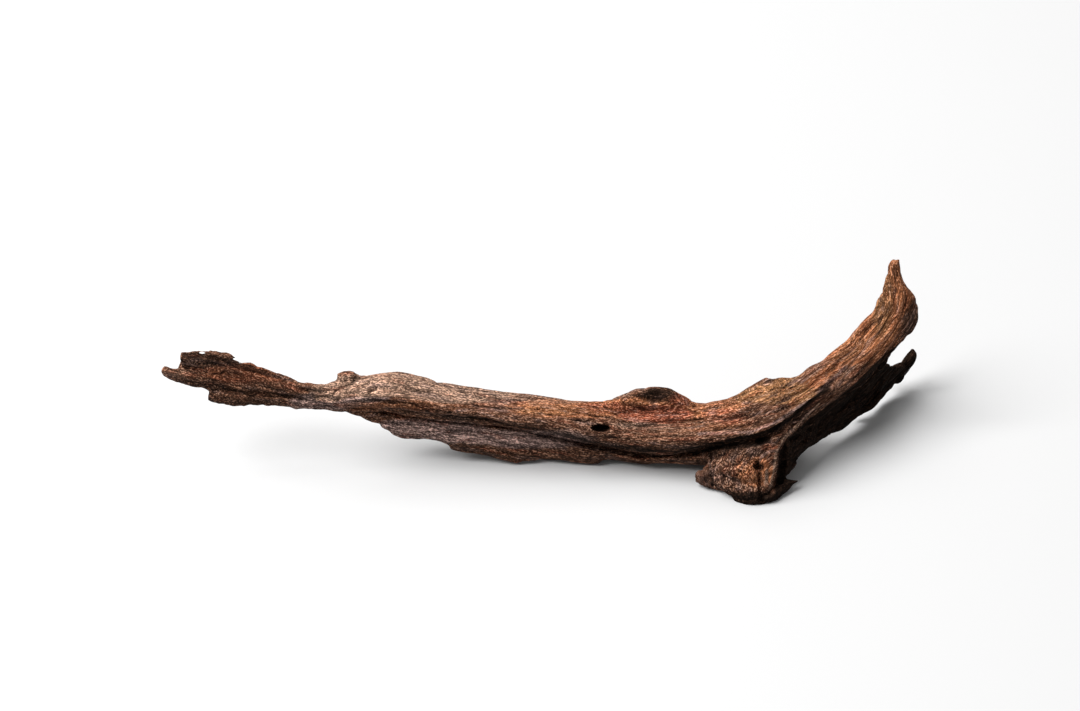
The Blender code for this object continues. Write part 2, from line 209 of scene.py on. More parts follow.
# %% [markdown]
# ## Which way the grain runs
#
# Grain follows the growth of the branch. Each point of the skin gets three new coordinates: how far
# along the heart of the limb it lies, and its two offsets from that heart. Noise that is stretched
# in these coordinates bends with the wood.

# %% The heart of the branch
HEART = [
    (-236, 83, 47), (-206, 80, 47), (-183, 75, 47), (-160, 69.5, 47), (-145, 66, 47),
    (-130, 64.5, 46), (-100, 65.5, 45), (-64, 62, 43), (-22, 56, 42), (20, 49, 40),
    (59, 44, 39), (95, 46, 37), (116, 48.5, 37), (135, 54, 40), (155, 63, 48), (172, 74, 60),
    (189, 86, 74), (198, 95, 84), (206, 104, 90), (212, 112, 96), (215, 121, 100),
    (215.5, 130, 104), (214, 140, 107), (213, 152, 110),
]
HEART_SAMPLES = 240
SMOOTHED_SHARE = 24


def smooth_course(stations, samples):
    """Even samples of a smooth curve through the stations, in metres."""
    points = np.array([place(*station) for station in stations])
    spans = np.linalg.norm(np.diff(points, axis=0), axis=1)
    run = np.concatenate([[0], np.cumsum(spans)])
    even = np.linspace(0, run[-1], samples)
    course = np.stack([np.interp(even, run, column) for column in points.T], axis=1)
    width = samples // SMOOTHED_SHARE
    kernel = np.hanning(2 * width + 1)
    kernel /= kernel.sum()
    padded = np.pad(course, ((width, width), (0, 0)), mode="reflect", reflect_type="odd")
    return np.stack([np.convolve(column, kernel, "valid") for column in padded.T], axis=1)


heart = smooth_course(HEART, HEART_SAMPLES)
print("the heart is", round(np.linalg.norm(np.diff(heart, axis=0), axis=1).sum() / MM), "mm long")

# %% Along the heart and across it
BATCH = 20_000


def nearest_sample(points, course):
    """For each point the index of the closest sample of the course, worked out in batches."""
    found = []
    for batch in np.array_split(points, max(1, len(points) // BATCH)):
        gaps = ((batch[:, None] - course[None]) ** 2).sum(axis=2)
        found.append(gaps.argmin(axis=1))
    return np.concatenate(found)


def along_heart(points, course):
    """Run along the course and offsets across it, in millimetres."""
    along = np.gradient(course, axis=0)
    along /= np.linalg.norm(along, axis=1, keepdims=True)
    across = np.cross(TO_VIEWER, along)
    across /= np.linalg.norm(across, axis=1, keepdims=True)
    out = np.cross(along, across)
    near = nearest_sample(points, course)
    offset = points - course[near]
    step = np.linalg.norm(course[1] - course[0])
    run = near * step + (offset * along[near]).sum(axis=1)
    rise = (offset * across[near]).sum(axis=1)
    depth = (offset * out[near]).sum(axis=1)
    return np.stack([run, rise, depth], axis=1) / MM


tip_run = along_heart(place(*HEART[-1])[None], heart)[0, 0]
print("the horn's tip lies", tip_run.round(), "mm along the heart")

# %% [markdown]
# ## The fan of the root foot
#
# The root foot grew out of the branch at an angle, so its grain fans out from where it left. Reach
# and turn about a point inside the branch give that fan. Both are shifted to agree with the branch's
# own grain at the top of the foot, where the two systems are blended.

# %% The foot's own grain
FOOT_HEART = [(124, 36, 30), (121, 28, 22), (118, 20, 16), (118, 11, 11), (122, 2, 4)]
FOOT_SAMPLES = 48
FAN_SOURCE = (150, 60, 36)
FOOT_TOP = (128, 36, 30)
FOOT_REACH = 21


def round_source(points):
    """Reach from the fan's source, turn about it and depth, for points in metres."""
    offset = (points - place(*FAN_SOURCE)) / MM
    left = -offset[:, 0]
    down = -(offset @ UP_IN_VIEW)
    return np.hypot(left, down), np.arctan2(left, down), offset @ TO_VIEWER


def fan(points, course):
    """The foot's grain, which agrees with the branch's where the foot begins."""
    top = place(*FOOT_TOP)[None]
    start = along_heart(top, course)[0]
    top_reach, top_turn, top_depth = round_source(top)
    reach, turn, depth = round_source(points)
    run = start[0] + reach - top_reach
    rise = start[1] + (turn - top_turn) * top_reach
    return np.stack([run, rise, start[2] + depth - top_depth], axis=1)


def foot_share(points):
    """1 on the root foot, 0 on the branch."""
    course = smooth_course(FOOT_HEART, FOOT_SAMPLES)
    near = nearest_sample(points, course)
    gap = np.linalg.norm(points - course[near], axis=1) / MM
    seen = (points - place(0, 0, 0)) @ UP_IN_VIEW / MM
    return ramp(gap, FOOT_REACH + 4, FOOT_REACH - 6) * ramp(seen, 40, 30)


print("the foot's share at its top is", foot_share(place(*FOOT_TOP)[None]).round(2))

# %% Grain coordinates of the skin in millimetres


def positions(mesh):
    found = np.empty(len(mesh.vertices) * 3)
    mesh.vertices.foreach_get("co", found)
    return found.reshape(-1, 3)


def normals(mesh):
    found = np.empty(len(mesh.vertices) * 3)
    mesh.vertices.foreach_get("normal", found)
    return found.reshape(-1, 3)


def grain_at(points):
    """Grain coordinates of each point in millimetres: along, across and depth."""
    foot = foot_share(points)[:, None]
    return along_heart(points, heart) * (1 - foot) + fan(points, heart) * foot


grain = grain_at(positions(wood.data))
print("grain runs", grain[:, 0].min().round(), "to", grain[:, 0].max().round(), "mm")

# %% [markdown]
# ## Knots
#
# Fibres flow round a knot like water round a stone. Pulling the across coordinate towards the
# knot's own value stretches the pattern over the knot and crowds it on both sides, which gives the
# flow without drawing a single line.

# %% Bend the grain round the knots
# Each knot is a place, its half length along the grain and its half width across it.
KNOTS = [
    ((67, 60, 42), 27, 12),
    ((36, 44.6, 28), 15, 7),
    ((134, 72, 48), 15, 8),
    ((73, 54, 66), 16, 10),
    ((-150, 68, 44), 14, 5),
]
KNOT_PULL = 0.6


def round_knots(coordinates):
    bent = coordinates.copy()
    for spot, half_length, half_width in KNOTS:
        centre = grain_at(place(*spot)[None])[0]
        gap = coordinates - centre
        reach = np.exp(
            -((gap[:, 0] / half_length) ** 2)
            - (gap[:, 1] / half_width) ** 2
            - (gap[:, 2] / (2 * half_width)) ** 2
        )
        bent[:, 1] -= gap[:, 1] * KNOT_PULL * reach
    return bent


def wander(coordinates):
    """The same coordinates with a slow wave across the grain, so that no line is straight."""
    wavy = coordinates.copy()
    wavy[:, 1] += 2.2 * noise_at(coordinates / [42, 14, 14], 11)
    wavy[:, 1] += 0.7 * noise_at(coordinates / [15, 5, 5], 12)
    wavy[:, 2] += 1.6 * noise_at(coordinates / [36, 12, 12], 13)
    return wavy


grain = wander(round_knots(grain))
print("knots bent into the grain:", len(KNOTS))

# %% [markdown]
# ## How deep the relief may go
#
# The torn blade on the left is only a few millimetres thick, and a crack from each side would cut
# right through it. A ray from each point into the wood measures how much there is before the far
# side. At a rim the ray runs along the sheet and finds plenty, so each point also takes the least
# of its neighbours.

# %% Neighbours over the mesh's edges


def edge_ends(mesh):
    ends = np.empty(len(mesh.edges) * 2, dtype=np.int64)
    mesh.edges.foreach_get("vertices", ends)
    return ends.reshape(-1, 2)


def neighbour_mean(values, ends, counts):
    """Each point's values averaged with those of the points it shares an edge with."""
    one, other = ends.T
    size = len(values)
    mean = values.copy()
    for column in range(values.shape[1]):
        mean[:, column] += np.bincount(one, values[other, column], size)
        mean[:, column] += np.bincount(other, values[one, column], size)
    return mean / (counts + 1)[:, None]


def neighbour_least(values, ends):
    """Each point's value or its neighbours', whichever is less."""
    one, other = ends.T
    least = values.copy()
    np.minimum.at(least, one, values[other])
    np.minimum.at(least, other, values[one])
    return least


start_points = positions(wood.data)
start_normals = normals(wood.data)
ends = edge_ends(wood.data)
counts = np.bincount(ends.ravel(), minlength=len(start_points))
print("a point has", counts.mean().round(2), "neighbours on average")

# %% Thickness of the wood under each point
DEEPEST_SHARE = 0.17
FULL_DEPTH = 3.0
START_INSIDE = 0.3
NEIGHBOUR_ROUNDS = 7


def wood_below(points, outward):
    """How far a ray from each point goes before it leaves the wood again, in millimetres."""
    longest = FULL_DEPTH / DEEPEST_SHARE
    tree = BVHTree.FromObject(wood, bpy.context.evaluated_depsgraph_get())
    below = np.full(len(points), longest)
    starts = points - outward * START_INSIDE * MM
    for i, (start, inward) in enumerate(zip(starts.tolist(), (-outward).tolist())):
        distance = tree.ray_cast(start, inward, longest * MM)[3]
        if distance is not None:
            below[i] = distance / MM + START_INSIDE
    return below


room = DEEPEST_SHARE * wood_below(start_points, start_normals)
for _ in range(NEIGHBOUR_ROUNDS):
    room = neighbour_least(room, ends)
for _ in range(NEIGHBOUR_ROUNDS):
    room = neighbour_mean(room[:, None], ends, counts)[:, 0]
print("relief may go from", room.min().round(2), "to", room.max().round(2), "mm deep")

# %% [markdown]
# ## Relief
#
# Five kinds of wear are added up, from the largest to the finest, each a height in millimetres:
#
# - soft swellings, where the branch was never quite round;
# - furrows, the long hollows between the hard ridges;
# - torn layers, which are flat steps with a ragged edge: slow noise cut into levels;
# - cracks, narrow and deep, and only in some places;
# - fibres, close together and shallow.

# %% Heights of each kind of wear


def ridge(value):
    """1 along the lines where the noise is zero, falling off to both sides."""
    return 1 - np.abs(value).clip(0, 1) * 2


def streak(length, width, seed):
    """Noise stretched along the grain."""
    return noise_at(grain / [length, width, width], seed)


def swellings(points):
    return 0.55 * noise_at(points / (21 * MM), 21) + 0.3 * noise_at(points / (8 * MM), 22)


def furrows():
    broad = ramp(ridge(streak(110, 9, 31)), 0.3, 1.0) * ramp(streak(70, 16, 32), -0.4, 0.35)
    narrow = ramp(ridge(streak(90, 4.4, 33)), 0.5, 1.0) * ramp(streak(50, 12, 34), -0.35, 0.3)
    return -0.7 * broad - 0.6 * narrow


def torn_layers():
    slow = streak(44, 6, 41) + 0.35 * streak(14, 2.6, 42)
    level = slow * 3.0
    base = np.floor(level)
    step = (base + ramp(level - base, 0.0, 0.25)) / 3.0
    return 0.6 * step * ramp(streak(70, 20, 43), -0.2, 0.35)


def cracks():
    line = ramp(ridge(streak(70, 6, 51)), 0.86, 1.0)
    where = ramp(streak(46, 9, 52), 0.12, 0.38)
    fine_line = ramp(ridge(streak(34, 3, 53)), 0.78, 1.0)
    fine_where = ramp(streak(30, 7, 54), 0.05, 0.4)
    return -1.3 * line * where - 0.5 * fine_line * fine_where


def fibres():
    return 0.26 * streak(60, 2.1, 61) + 0.1 * streak(20, 1.5, 62)


heights = {
    "swellings": swellings(start_points),
    "furrows": furrows(),
    "torn layers": torn_layers(),
    "cracks": cracks(),
    "fibres": fibres(),
}
for kind, height in heights.items():
    print(f"{kind}: {height.min():.2f} to {height.max():.2f} mm")

# %% [markdown]
# ## The foot's end grain
#
# Where the root broke off, the fibres are cut across and stand up as small grains. Noise with no
# stretch gives those, and only the foot gets it.

# %% Grains on the foot
foot = foot_share(start_points)
nubs = 1 - np.abs(noise_at(start_points / (2.6 * MM), 71)) * 2
heights["nubs"] = foot * (0.45 * nubs + 0.45 * noise_at(start_points / (1.6 * MM), 72))
print("points on the foot:", int((foot > 0.5).sum()))

# %% [markdown]
# ## Crests and furrows that can be pointed at
#
# Some lines are this piece's own: the sharp crest that runs down over the foot, the edge between
# the bleached top and the dark front, a torn flake on the neck, and the furrows that sweep up the
# horn. Each is a path over the side that faces the viewer, with a half width and a height. A
# positive height is a crest and a negative one a furrow.

# %% Draw the lines of this piece
LINES = [
    ([(-101, 65), (-84, 63), (-54, 57.5), (-24, 50.5), (-12, 46)], 2.6, 0.8),
    ([(-100, 61), (-84, 59), (-54, 53.5), (-24, 47)], 2.2, -1.0),
    ([(-126, 62), (-113, 68.4), (-102, 74)], 1.8, 0.9),
    ([(-124, 66), (-114, 72), (-106, 77)], 1.8, -0.9),
    ([(-103, 67), (-99, 69)], 2.2, -1.6),
    ([(134, 2), (137.4, 10.8), (138.6, 19.8), (140.4, 30.6), (145, 39), (155, 48),
      (167, 59.5), (178, 68), (192, 80)], 1.4, 1.1),
    ([(118, 39), (130, 41), (140, 44), (151, 51), (160, 59), (172, 70), (186, 83), (198, 98),
      (205, 112)], 2.6, -1.4),
    ([(110, 50), (134, 55), (156, 66), (176, 81), (194, 100), (206, 120)], 2.0, -0.8),
    ([(124, 60), (140, 65), (160, 78), (178, 93), (194, 112), (203, 130)], 1.6, -0.5),
    ([(150, 38), (166, 46), (184, 60), (200, 78), (212, 88)], 2.2, -1.4),
    ([(148, 30), (164, 38), (182, 52), (200, 70)], 1.6, 0.9),
    ([(112, 14), (120, 22), (127, 33)], 2.0, 0.8),
    ([(126, 23.5), (131.5, 21)], 2.6, -1.1),
    ([(130.5, 21), (129.6, 14), (130.6, 8), (129.8, 2)], 1.3, -1.0),
    ([(-196, 80), (-176, 77), (-156, 72), (-138, 67)], 2.4, -0.8),
    ([(-214, 73), (-200, 71), (-184, 68)], 1.4, -0.7),
]


def profile_round(path, half_width, x, seen):
    """1 on the path, falling to 0 at half a width from it."""
    nearest = np.full(len(x), np.inf)
    for (x0, seen0), (x1, seen1) in zip(path, path[1:]):
        run_x, run_seen = x1 - x0, seen1 - seen0
        share = ((x - x0) * run_x + (seen - seen0) * run_seen) / (run_x**2 + run_seen**2)
        share = share.clip(0, 1)
        away = np.hypot(x - x0 - share * run_x, seen - seen0 - share * run_seen)
        nearest = np.minimum(nearest, away)
    return ramp(nearest / half_width, 1, 0)


def drawn_lines(points, outward):
    from_corner = (points - place(0, 0, 0)) / MM
    x = from_corner[:, 0] + 2.5 * noise_at(points / (9 * MM), 75)
    seen = from_corner @ UP_IN_VIEW + 0.9 * noise_at(points / (6 * MM), 76)
    height = np.zeros(len(points))
    for path, half_width, size in LINES:
        height += size * profile_round(path, half_width, x, seen)
    return height * ramp(outward @ TO_VIEWER, -0.1, 0.3)


heights["lines"] = drawn_lines(start_points, start_normals)
print("lines drawn:", len(LINES))

# %% [markdown]
# ## Small pushes to the outline
#
# The packed model's outline is one to three millimetres off in some places. A push moves everything
# near a place by the same small step, and less further away, so front and back stay together.

# %% Pushes as seen by the viewer
# Each push is its place (x, seen), how far it reaches, and its steps along and up.
PUSHES = [
    ((181, 99), 9, (1.4, -1.2)), ((199, 117), 8, (1.2, -0.8)), ((160, 82), 6, (-0.4, 1.6)),
    ((-28, 63), 22, (0, 0.8)), ((-78, 68), 16, (0, 1.1)), ((-138, 74), 9, (0, -1.3)),
    ((99, 60), 10, (0, 0.7)), ((-95, 45), 9, (0.4, 1.3)), ((-36, 29), 12, (0, 1.6)),
    ((40, 22), 22, (0, 0.8)), ((80, 21), 16, (0, 1.0)), ((153, 13), 5, (2.2, 0.3)),
    ((202, 61), 12, (2.4, -2.4)), ((222, 88), 9, (2.2, -0.3)), ((-174, 82), 8, (0, 1.0)),
    ((72, 70), 8, (-0.6, -0.5)), ((-192, 88), 9, (0, 0.8)), ((-135, 73), 12, (0, 0.8)),
    ((215, 147), 5, (0.9, 0.5)),
]


def pushed(points):
    """The points moved in the plane that faces the viewer."""
    from_corner = (points - place(0, 0, 0)) / MM
    x = from_corner[:, 0]
    seen = from_corner @ UP_IN_VIEW
    moved = points.copy()
    for (middle_x, middle_seen), reach, (along, up) in PUSHES:
        share = np.exp(-((x - middle_x) ** 2 + (seen - middle_seen) ** 2) / reach**2)
        step = np.array([along, 0, 0]) + up * UP_IN_VIEW
        moved += share[:, None] * step * MM
    return moved


print("pushes:", len(PUSHES))

# %% [markdown]
# ## Put the relief on
#
# The sum is held to the room that the wood has, softly, so that deep cracks flatten out instead of
# stopping at a hard floor. The points then move along their normals, which are averaged with their
# neighbours' first, or else points in a tight groove would cross over. A last small shift moves both
# faces of a thin rim together, which makes its outline ragged without making it any thinner. What
# would dip below the surface that the wood lies on is laid flat on it.

# %% Move the points
NORMAL_ROUNDS = 4
RAGGED = 0.3
MORE_RAGGED_BLADE = 0.9
BLADE_BEGINS = -110
BLADE_FULL = -150

total = sum(heights.values())
total = total - np.median(total)
held = room * np.tanh(total / room)
on_blade = ramp(start_points[:, 0] / MM, BLADE_BEGINS, BLADE_FULL)
ragged = RAGGED + MORE_RAGGED_BLADE * on_blade
soft_normals = start_normals
for _ in range(NORMAL_ROUNDS):
    soft_normals = neighbour_mean(soft_normals, ends, counts)
carved = start_points + soft_normals * held[:, None] * MM
for axis, seed in ((0, 91), (2, 92)):
    shift = noise_at(start_points / (6.5 * MM), seed)
    shift += 0.5 * noise_at(start_points / (2.8 * MM), seed + 4)
    carved[:, axis] += shift * ragged * MM
carved = neighbour_mean(pushed(carved), ends, counts)
carved[:, 2] = np.maximum(carved[:, 2], 0)
wood.data.vertices.foreach_set("co", carved.ravel())
wood.data.update()
print("relief runs from", held.min().round(2), "to", held.max().round(2), "mm")

# %% [markdown]
# ## What the finish needs to know
#
# Three things go from the mesh to the shader as attributes, because a shader can't work them out:
# the grain coordinates, how far each point lies above or below its neighbourhood, and which part of
# the wood it is in. The second comes from smoothing a copy of the points over the mesh's edges and
# measuring how far each point stood out from it. It is done at two scales, fine and broad.

# %% Measure what stands out
FINE_ROUNDS = 10
BROAD_ROUNDS = 90


def stands_out(mesh, rounds):
    """How far each point lies outside the smoothed surface, in millimetres."""
    points = positions(mesh)
    soft = points
    for _ in range(rounds):
        soft = neighbour_mean(soft, ends, counts)
    return ((points - soft) * normals(mesh)).sum(axis=1) / MM


fine_relief = stands_out(wood.data, FINE_ROUNDS)
broad_relief = stands_out(wood.data, BROAD_ROUNDS)
print("stands out, fine and broad:", fine_relief.std().round(3), broad_relief.std().round(3), "mm")

# %% [markdown]
# ## Stains, bleached stretches and painted light
#
# The colour isn't even. Sun has bleached the upper side of the thin half to a greyish pink, the
# middle and the horn keep a warm orange brown, and there is a rusty patch under the knob. Shade is
# painted too: the face under the horn is painted nearly black, and the shaded zones and streaks are
# painted shade in seams, bands, hollows and on lower sides. A few pale streaks along crests and a
# golden streak up the horn's left edge are painted highlights. A stain is either a soft oval at a
# place on the wood or a streak along a path. Each kind is kept as one mask, which the shader later
# breaks up along the grain.

# %% Stains as soft ovals
# Each zone is (x, seen), its half length, its half height and its strength.
BLEACHED = [
    ((-94, 71), 42, 8, 1.0), ((-50, 66), 40, 7, 0.9), ((4, 62), 28, 4, 0.5),
    ((-126, 66), 14, 6, 0.7), ((60, 46), 22, 3, 0.55), ((44, 66), 10, 4, 0.6),
    ((128, 50), 18, 4, 0.3), ((170, 74), 26, 5, 0.2), ((-218, 78), 10, 4, 0.4),
]
WARM = [
    ((24, 57), 46, 6, 1.0), ((70, 56), 40, 8, 0.8), ((100, 58), 26, 7, 0.6),
    ((108, 46), 26, 5, 0.4),
    ((190, 104), 30, 22, 0.9), ((214, 132), 12, 22, 1.0), ((128, 19), 11, 9, 1.0),
    ((-70, 58), 60, 3.5, 0.5), ((-176, 78), 30, 6, 0.5),
]
GOLDEN = [
    ((142, 66), 24, 7, 0.9), ((104, 64), 22, 4, 0.45), ((6, 56), 26, 4, 0.5),
    ((182, 96), 20, 12, 0.4), ((205, 124), 8, 26, 0.7), ((128, 18), 10, 7, 0.4),
]
RUSTY = [
    ((68, 53), 24, 6, 1.0), ((40, 57), 22, 4, 0.6), ((110, 52), 16, 5, 0.6),
    ((136, 34), 6, 5, 0.5), ((214, 108), 6, 12, 0.4), ((-174, 78), 34, 8, 0.5),
    ((84, 62), 8, 6, 0.7),
]
PLUM = [
    ((-70, 42), 38, 8, 1.0), ((-10, 38), 46, 6, 0.8), ((-130, 60), 24, 5, 0.8),
    ((-24, 58), 22, 5, 0.5), ((96, 46), 22, 5, 0.2), ((176, 84), 30, 7, 0.3),
    ((-101, 64), 12, 4.5, 0.9), ((103, 14), 12, 7, 0.4),
    ((-206, 84), 12, 8, 0.3),
]
# Shaded zones are painted shade: on the knob, in the pit, in the bands above the seam and between
# trunk and foot, on the lower sides of the blade and the horn, and at the foot's lower rim.
SHADED = [
    ((72, 65), 11, 6, 0.8), ((60, 33), 66, 6, 0.45), ((-184, 62), 30, 6, 0.55),
    ((223, 106), 7, 20, 0.6), ((126, 2.5), 22, 5, 1.0), ((110, 32), 28, 6, 0.7),
    ((128.5, 22), 4, 2.4, 0.75), ((118, 53), 9, 3, 0.45),
]


def zone_mask(zones, x, seen):
    """The strongest of the zones at each point, fading out towards each zone's rim."""
    mask = np.zeros(len(x))
    for (middle_x, middle_seen), half_length, half_height, strength in zones:
        away = ((x - middle_x) / half_length) ** 2 + ((seen - middle_seen) / half_height) ** 2
        mask = np.maximum(mask, strength * ramp(away, 1.7, 0.3))
    return mask


print("zones:", sum(len(z) for z in (BLEACHED, WARM, GOLDEN, RUSTY, PLUM, SHADED)))

# %% Stains as streaks
# Each streak is a stain, its path of (x, seen), half its width and its strength.
STAIN_STREAKS = [
    # Painted rim light: the golden streak up the horn's left edge.
    ("golden_and_painted_rim_light", [(120, 63), (150, 75), (172, 95), (190, 115), (203, 138)], 6, 1.0),
    ("warm", [(150, 62), (172, 78), (190, 97), (204, 118)], 7, 0.9),
    ("plum", [(95, 41.5), (125, 43), (139, 48), (150, 54), (166, 66), (184, 82)], 2.8, 0.6),
    # Painted highlights: pale lines along the crest over the foot and along a ridge of the horn.
    ("bleached_and_painted_highlight", [(135, 3), (138.6, 18), (140.4, 30.6), (145, 39), (155, 48), (167, 59.5)], 1.2, 1.2),
    ("bleached_and_painted_highlight", [(168, 62), (184, 76), (196, 88), (203, 96)], 1.6, 0.3),
    # The shaded streaks are painted shade in furrows, seams and the crack.
    ("shaded", [(112, 38), (130, 41), (140, 44), (151, 51), (160, 59), (172, 69)], 3.2, 1.1),
    ("shaded", [(100, 33), (112, 34), (126, 35), (136, 38)], 5, 1.0),
    ("shaded", [(130.5, 21), (129.6, 14), (130.6, 8), (129.8, 2)], 1.1, 0.6),
    ("bleached_and_painted_highlight", [(135, 20), (134.5, 12)], 2.5, 0.8),
    ("bleached_and_painted_highlight", [(-134, 62), (-124, 65), (-112, 70)], 4, 0.8),
    ("plum", [(-138, 64), (-128, 64)], 4, 1.0),
    ("shaded", [(-60, 52), (-20, 47), (14, 41)], 2.4, 0.7),
    ("shaded", [(14, 41), (40, 34), (80, 30), (110, 37), (134, 41)], 3.6, 0.9),
]

print("streaks:", len(STAIN_STREAKS))

# %% The painted shade under the horn
# The dark face, where shade is painted, lies to the right of this line of (x, seen) places, which runs
# up from the foot.
DARK_EDGE = [
    (136, 0), (138, 10), (140, 30), (145, 40), (159, 50), (175, 62), (191, 77), (208, 93),
    (221, 101),
]


def dark_face(x, seen):
    """1 on the face that turns away under the horn, where shade is painted."""
    edge_x, edge_seen = zip(*DARK_EDGE)
    past = x - np.interp(seen, edge_seen, edge_x)
    return ramp(past, 0, 5) * ramp(seen, 104, 96)


print("the dark face's edge has", len(DARK_EDGE), "places")

# %% [markdown]
# ## All the masks together
#
# The stains lie on the side that faces the viewer. Nobody sees the far side in this pose, but it can
# be turned to the front, so slow noise lays out the same kinds of stain there. Three more masks
# don't colour anything by themselves: skyward says how far a place faces up, granular where the
# grain is broken short, on the foot and the torn blade, and sinewy where it stays in long threads,
# up the horn.

# %% Masks for each stain
EVERYWHERE_GRANULAR = 0.3
BLADE_GRANULAR = 0.5


def tone_masks(points, outward):
    """A mask for each stain, from the zones in front and from slow noise on the far side, where the
    shaded mask is painted shade on faces that turn down.
    """
    from_corner = (points - place(0, 0, 0)) / MM
    x = from_corner[:, 0]
    seen = from_corner @ UP_IN_VIEW
    front = ramp(outward @ TO_VIEWER, -0.15, 0.25)
    up = ramp(outward[:, 2], -0.1, 0.75)

    def patches(size, seed):
        return ramp(noise_at(points / (size * MM), seed), -0.15, 0.4)

    stains = {
        "bleached_and_painted_highlight": (BLEACHED, 0.8 * up * patches(40, 81)),
        "warm": (WARM, 0.8 * patches(50, 82)),
        "golden_and_painted_rim_light": (GOLDEN, 0.7 * up * patches(34, 83)),
        "rusty": (RUSTY, 0.6 * patches(28, 84)),
        "plum": (PLUM, 0.8 * (1 - up) * patches(44, 85)),
        # On the far side the shaded mask is painted shade on faces that turn down.
        "shaded": (SHADED, 0.75 * ramp(outward[:, 2], 0.0, -0.8)),
    }
    made = {
        name: front * zone_mask(zones, x, seen) + (1 - front) * hidden
        for name, (zones, hidden) in stains.items()
    }
    for name, path, half_width, strength in STAIN_STREAKS:
        streak_mask = strength * profile_round(path, half_width, x, seen) * front
        made[name] = np.maximum(made[name], streak_mask)
    # The dark face under the horn gets painted shade at full strength.
    made["shaded"] = np.maximum(made["shaded"], 1.3 * dark_face(x, seen) * front)
    return made


masks = tone_masks(start_points, start_normals)
masks["skyward"] = start_normals[:, 2] * 0.5 + 0.5
towards_blade = ramp(start_points[:, 0] / MM, -60, BLADE_FULL)
masks["granular"] = np.maximum(foot, EVERYWHERE_GRANULAR + BLADE_GRANULAR * towards_blade)
masks["sinewy"] = ramp(start_points[:, 0] / MM, 90, 170)
for name, mask in masks.items():
    print(f"{name}: {100 * mask.mean():.0f}% of the skin")

# %% [markdown]
# ## Pass them to the shader
#
# An attribute holds one value for each point of the mesh, and a shader reads it by name. The grain
# coordinates are stored in hundreds of millimetres, which keeps the numbers small.

# %% Store the attributes
GRAIN_UNIT = 100


def store_number(mesh, name, values):
    layer = mesh.attributes.new(name, "FLOAT", "POINT")
    layer.data.foreach_set("value", values)


def store_vector(mesh, name, values):
    layer = mesh.attributes.new(name, "FLOAT_VECTOR", "POINT")
    layer.data.foreach_set("vector", values.ravel())


store_vector(wood.data, "grain", grain / GRAIN_UNIT)
store_number(wood.data, "fine_relief", fine_relief)
store_number(wood.data, "broad_relief", broad_relief)
for name, mask in masks.items():
    store_number(wood.data, name, mask)
print("stored", [a.name for a in wood.data.attributes if not a.is_internal])

# %% [markdown]
# ## Fewer faces where the skin is smooth
#
# The export takes up to two hundred thousand triangles for a piece. Decimate by collapse spends
# them where the surface bends, so cracks and ragged edges keep theirs, and it carries the
# attributes along.

# %% Thin out the mesh
MOST_TRIANGLES = 196_000

triangles = sum(len(face.vertices) - 2 for face in wood.data.polygons)
add_modifier(wood, "DECIMATE", ratio=min(1.0, MOST_TRIANGLES / triangles))
apply_modifiers(wood)
wood.data.shade_smooth()
print("triangles:", triangles, "thinned to", len(wood.data.polygons))

# %% [markdown]
# ## Shader maths as expressions
#
# A wood finish is a long sum of masks, and wiring it by hand hides what it does. A small class
# stands for a socket, and its operators add the Math, Mix and Vector Math nodes that they need, so
# that the finish reads as a formula.

# %% A socket that can be calculated with


class Socket:
    """An output socket in a material, with operators that add nodes."""

    def __init__(self, tree, link):
        self.tree = tree
        self.link = link

    def node(self, kind, settings=None, inputs=None):
        """A new node: its settings first, then its sockets by name or number."""
        made = self.tree.nodes.new(kind)
        for name, value in (settings or {}).items():
            setattr(made, name, value)
        for name, value in (inputs or {}).items():
            if isinstance(value, Socket):
                self.tree.links.new(value.link, made.inputs[name])
            else:
                made.inputs[name].default_value = value
        return made

    def made(self, kind, settings=None, inputs=None, output=0):
        return Socket(self.tree, self.node(kind, settings, inputs).outputs[output])

    def math(self, operation, one, other=0.0):
        return self.made("ShaderNodeMath", {"operation": operation}, {0: one, 1: other})

    def __add__(self, other):
        return self.math("ADD", self, other)

    def __radd__(self, other):
        return self.math("ADD", other, self)

    def __sub__(self, other):
        return self.math("SUBTRACT", self, other)

    def __rsub__(self, other):
        return self.math("SUBTRACT", other, self)

    def __mul__(self, other):
        return self.math("MULTIPLY", self, other)

    def __rmul__(self, other):
        return self.math("MULTIPLY", other, self)

    def between(self, start, end):
        """0 at start, 1 at end, with soft ends."""
        inputs = {"Value": self, "From Min": start, "From Max": end}
        return self.made("ShaderNodeMapRange", {"interpolation_type": "SMOOTHSTEP"}, inputs)

    def scaled(self, x, y, z):
        """This vector multiplied by a factor for each axis."""
        return self.made("ShaderNodeVectorMath", {"operation": "MULTIPLY"}, {0: self, 1: (x, y, z)})

    def dimmed(self, factor):
        """This colour made darker or lighter by a factor."""
        inputs = {0: self, "Scale": factor}
        return self.made("ShaderNodeVectorMath", {"operation": "SCALE"}, inputs)

    def middle_lines(self, width):
        """1 along the lines where this noise passes its middle value, 0 away from them."""
        return 1 - self.math("ABSOLUTE", self - 0.5).between(0.0, width)

    def noise(self, detail=2.0, roughness=0.5):
        """Noise from 0 to 1 with this vector as its place."""
        inputs = {"Vector": self, "Scale": 1.0, "Detail": detail, "Roughness": roughness}
        return self.made("ShaderNodeTexNoise", {"normalize": True}, inputs)

    def blend(self, one, other):
        """Colour one where this mask is 0, and the other where it is 1."""
        # The sockets 6 and 7 of a Mix node are its two colours, and its output 2 is the mixed one.
        settings = {"data_type": "RGBA", "blend_type": "MIX", "clamp_factor": True}
        return self.made("ShaderNodeMix", settings, {0: self, 6: one, 7: other}, output=2)


print("sockets add nodes with", [name for name in vars(Socket) if name.startswith("__r")])

